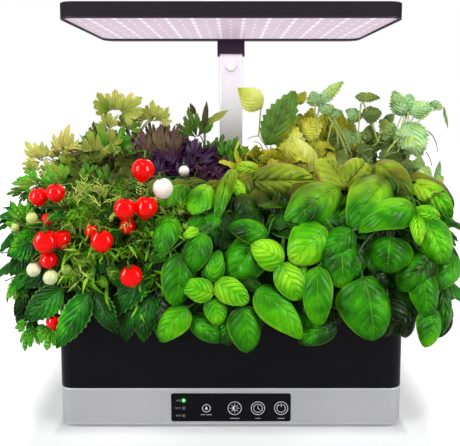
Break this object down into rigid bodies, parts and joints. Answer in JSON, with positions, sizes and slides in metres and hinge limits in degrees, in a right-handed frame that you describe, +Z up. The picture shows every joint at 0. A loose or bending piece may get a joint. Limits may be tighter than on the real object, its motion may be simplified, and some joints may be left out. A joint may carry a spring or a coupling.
{
  "type": "hydroponic garden",
  "caption": "Countertop hydroponic garden: planted grow deck on a black water tank, silver control base, and a wide grow lamp on a telescopic mast.",
  "frame": {"origin": "centre of the base's footprint, on the surface that the rubber feet stand on", "axes": "+X to the right seen from the front, +Y towards the mast at the rear, +Z up"},
  "size_m": [0.57, 0.303, 0.4921],
  "materials": {
    "silver_plastic": "satin silver paint on moulded plastic",
    "black_plastic": "satin moulded",
    "panel_black": "smooth gloss",
    "key_black": "smooth, printed symbol",
    "rubber": "matt",
    "steel_screw": "zinc plated",
    "circuit_board": "solder mask",
    "switch_metal": "stamped",
    "indicator_lens": "clear, lit from behind",
    "socket_black": "moulded",
    "pump_black": "moulded",
    "impeller_white": "moulded",
    "shaft_steel": "ground",
    "riser_clear": "clear tube",
    "float_orange": "moulded",
    "basket_black": "moulded",
    "sponge": "pressed peat",
    "mast_silver": "satin anodised",
    "bracket_black": "satin moulded",
    "button_silver": "satin moulded",
    "spring_steel": "drawn wire",
    "lamp_black": "satin moulded",
    "diffuser": "frosted, lit from behind",
    "led_board": "white solder mask",
    "led_chip": "lit diode",
    "cable": "matt sheath",
    "tomato_foliage": "leaves and red fruit",
    "dill_foliage": "fine fronds",
    "basil_foliage": "glossy cupped leaves",
    "parsley_foliage": "lobed leaves",
    "purple_foliage": "frilled dark leaves",
    "mustard_foliage": "broad toothed leaves",
    "mint_foliage": "small toothed leaves"
  },
  "bodies": {
    "base": {"base_housing": "silver_plastic", "bottom_cover": "black_plastic", "rubber_feet": "rubber", "cover_screws": "steel_screw", "tank_bolts": "steel_screw", "control_panel": "panel_black", "indicator_lenses": "indicator_lens", "low_water_lens": "indicator_lens", "control_board": "circuit_board", "tact_switches": "switch_metal", "power_board": "circuit_board", "power_socket": "socket_black", "water_tank": "black_plastic", "pump_housing": "pump_black", "pump_feet": "rubber", "pump_shaft": "shaft_steel", "pump_grille": "pump_black", "water_riser": "riser_clear", "mast_sleeve": "mast_silver", "mast_foot": "black_plastic", "sleeve_collar": "bracket_black", "lamp_cable": "cable"},
    "brightness_key": {"brightness_button": "key_black"},
    "timer_key": {"timer_button": "key_black"},
    "power_key": {"power_button": "key_black"},
    "impeller": {"pump_impeller": "impeller_white"},
    "deck": {"grow_deck": "black_plastic", "filler_pin": "shaft_steel", "float_guide": "pump_black", "grow_sponges": "sponge", "basket_1": "basket_black", "basket_2": "basket_black", "basket_3": "basket_black", "basket_4": "basket_black", "basket_5": "basket_black", "basket_6": "basket_black", "basket_7": "basket_black", "basket_8": "basket_black", "tomato_plant": "tomato_foliage", "dill_plant": "dill_foliage", "basil_plant_left": "basil_foliage", "basil_plant_right": "basil_foliage", "parsley_plant": "parsley_foliage", "purple_basil_plant": "purple_foliage", "mustard_plant": "mustard_foliage", "mint_plant": "mint_foliage"},
    "lid": {"filler_lid": "black_plastic"},
    "float": {"water_float": "float_orange"},
    "lamp": {"mast_tube": "mast_silver", "button_spring": "spring_steel", "lamp_bracket": "bracket_black", "bracket_screws": "steel_screw", "lamp_bezel": "lamp_black", "lamp_cover": "lamp_black", "diffuser": "diffuser", "led_board": "led_board", "led_chips": "led_chip", "board_screws": "steel_screw", "lamp_screws": "steel_screw"},
    "mast_button": {"release_button": "button_silver"}
  },
  "joints": [
    {"name": "lamp_height", "type": "slide", "parent": "base", "child": "lamp", "axis": [0, 0, 1], "range_m": [-0.13, 0], "deforming": ["parsley_plant", "purple_basil_plant", "mustard_plant", "mint_plant", "lamp_cable"]},
    {"name": "mast_release", "type": "slide", "parent": "lamp", "child": "mast_button", "axis": [0, 1, 0], "range_m": [0, 0.0025], "stiffness_N_per_m": 600, "springref_m": -0.003, "deforming": ["button_spring"]},
    {"name": "deck_lift", "type": "slide", "parent": "base", "child": "deck", "axis": [0, 0, 1], "range_m": [0, 0.06]},
    {"name": "filler_lid_hinge", "type": "hinge", "parent": "deck", "child": "lid", "pos_m": [0.112, 0.1186, 0.1534], "axis": [-1, 0, 0], "range_deg": [0, 100]},
    {"name": "float_rise", "type": "slide", "parent": "deck", "child": "float", "axis": [0, 0, 1], "range_m": [0, 0.03]},
    {"name": "impeller_spin", "type": "hinge", "parent": "base", "child": "impeller", "pos_m": [0.166, 0.088, 0.071], "axis": [0, 1, 0], "continuous": true},
    {"name": "brightness_press", "type": "slide", "parent": "base", "child": "brightness_key", "axis": [0, 1, 0], "range_m": [0, 0.0012], "stiffness_N_per_m": 500, "springref_m": -0.0015},
    {"name": "timer_press", "type": "slide", "parent": "base", "child": "timer_key", "axis": [0, 1, 0], "range_m": [0, 0.0012], "stiffness_N_per_m": 500, "springref_m": -0.0015},
    {"name": "power_press", "type": "slide", "parent": "base", "child": "power_key", "axis": [0, 1, 0], "range_m": [0, 0.0012], "stiffness_N_per_m": 500, "springref_m": -0.0015}
  ]
}
